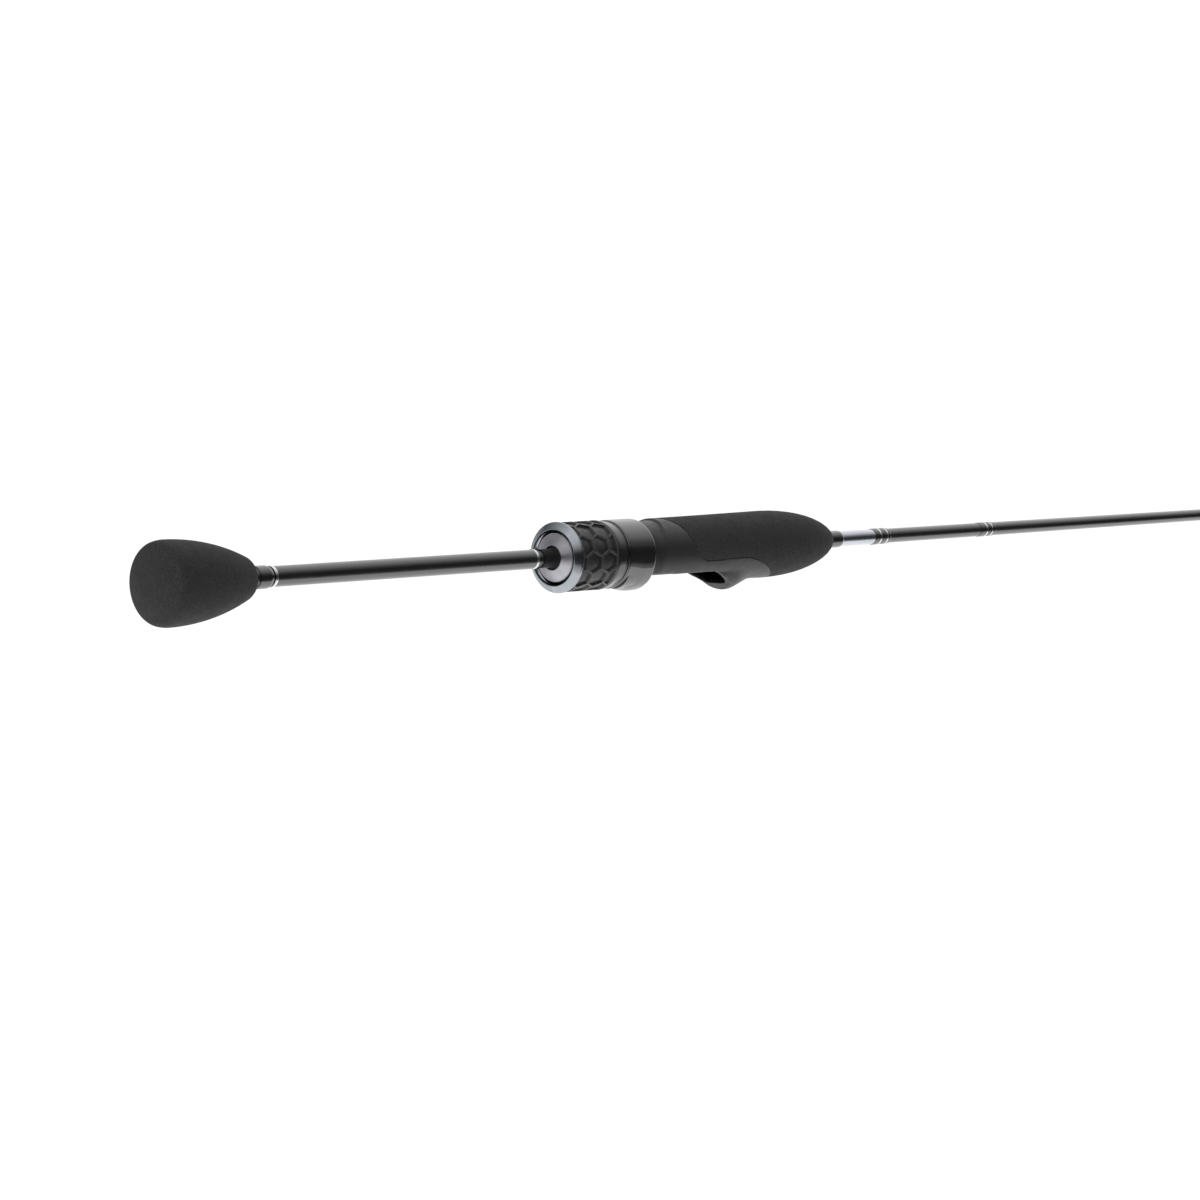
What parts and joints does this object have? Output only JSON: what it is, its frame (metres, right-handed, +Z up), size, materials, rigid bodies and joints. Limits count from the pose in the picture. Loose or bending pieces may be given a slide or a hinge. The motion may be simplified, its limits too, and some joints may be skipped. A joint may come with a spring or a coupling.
{
  "type": "spinning rod",
  "caption": "Two-piece spinning rod with a split foam grip, a reel seat whose nut drives a sliding hood, ringed line guides and a ringed tip.",
  "frame": {"origin": "centre of the butt knob's flat end face, on the blank's axis", "axes": "+X along the blank from the butt to the tip, +Z up, away from the reel and the guides, which are on the -Z side; +Y is left when looking along +X"},
  "size_m": [1.8325, 0.029, 0.0537],
  "materials": {
    "eva_foam": "matte closed-cell foam, sanded",
    "gloss_black": "clear-coated gloss black",
    "satin_blank": "satin black",
    "seat_plastic": "satin dark grey moulded plastic",
    "grip_rubber": "satin black with hexagon pockets",
    "turned_aluminium": "fine turned satin",
    "blue_aluminium": "brushed, blue grey",
    "gunmetal": "gloss gunmetal",
    "silver_trim": "bright silver",
    "foil": "satin blue-grey foil under clear coat",
    "thread_wrap": "black winding thread under gloss epoxy",
    "arbor_foam": "cut rigid foam",
    "guide_metal": "polished smoke grey",
    "ceramic": "polished dark ceramic"
  },
  "bodies": {
    "rod": {"butt_knob": "eva_foam", "butt_collar": "gloss_black", "butt_trim_ring": "silver_trim", "butt_blank": "satin_blank", "handle_sleeve": "satin_blank", "seat_trim_ring": "silver_trim", "tail_bush": "satin_blank", "barrel_end_cone": "turned_aluminium", "seat_barrel": "seat_plastic", "rear_arbor": "arbor_foam", "front_arbor": "arbor_foam", "seat_body": "seat_plastic", "fixed_hood_liner": "satin_blank", "fore_grip": "eva_foam", "winding_check": "gloss_black", "foil_sleeve": "foil", "check_wrap": "thread_wrap", "check_wrap_trim": "silver_trim", "mark_wrap": "thread_wrap", "mark_wrap_trim": "silver_trim", "guide_1_frame": "guide_metal", "guide_1_ring": "ceramic", "guide_1_wrap": "thread_wrap"},
    "hood": {"moving_hood": "gloss_black", "hood_liner": "satin_blank"},
    "nut": {"nut_core": "satin_blank", "nut_end_ring": "blue_aluminium", "nut_grip_sleeve": "grip_rubber", "nut_front_ring": "gunmetal"},
    "tip_section": {"tip_blank": "satin_blank", "ferrule_wrap": "thread_wrap", "tip_tube": "guide_metal", "tip_frame": "guide_metal", "tip_ring": "ceramic", "guide_2_frame": "guide_metal", "guide_2_ring": "ceramic", "guide_2_wrap": "thread_wrap", "guide_3_frame": "guide_metal", "guide_3_ring": "ceramic", "guide_3_wrap": "thread_wrap", "guide_4_frame": "guide_metal", "guide_4_ring": "ceramic", "guide_4_wrap": "thread_wrap", "guide_5_frame": "guide_metal", "guide_5_ring": "ceramic", "guide_5_wrap": "thread_wrap", "guide_6_frame": "guide_metal", "guide_6_ring": "ceramic", "guide_6_wrap": "thread_wrap", "guide_7_frame": "guide_metal", "guide_7_ring": "ceramic", "guide_7_wrap": "thread_wrap"}
  },
  "joints": [
    {"name": "hood_slide", "type": "slide", "parent": "rod", "child": "hood", "axis": [-1, 0, 0], "range_m": [0, 0.012]},
    {"name": "nut_spin", "type": "hinge", "parent": "hood", "child": "nut", "pos_m": [0.2, 0, 0], "axis": [-1, 0, 0], "range_deg": [0, 1728.2]},
    {"name": "ferrule_pull", "type": "slide", "parent": "rod", "child": "tip_section", "axis": [1, 0, 0], "range_m": [0, 0.08]}
  ],
  "couplings": [
    {"joint": "nut_spin", "follows": "hood_slide", "rad_per_m": 2513.3}
  ]
}
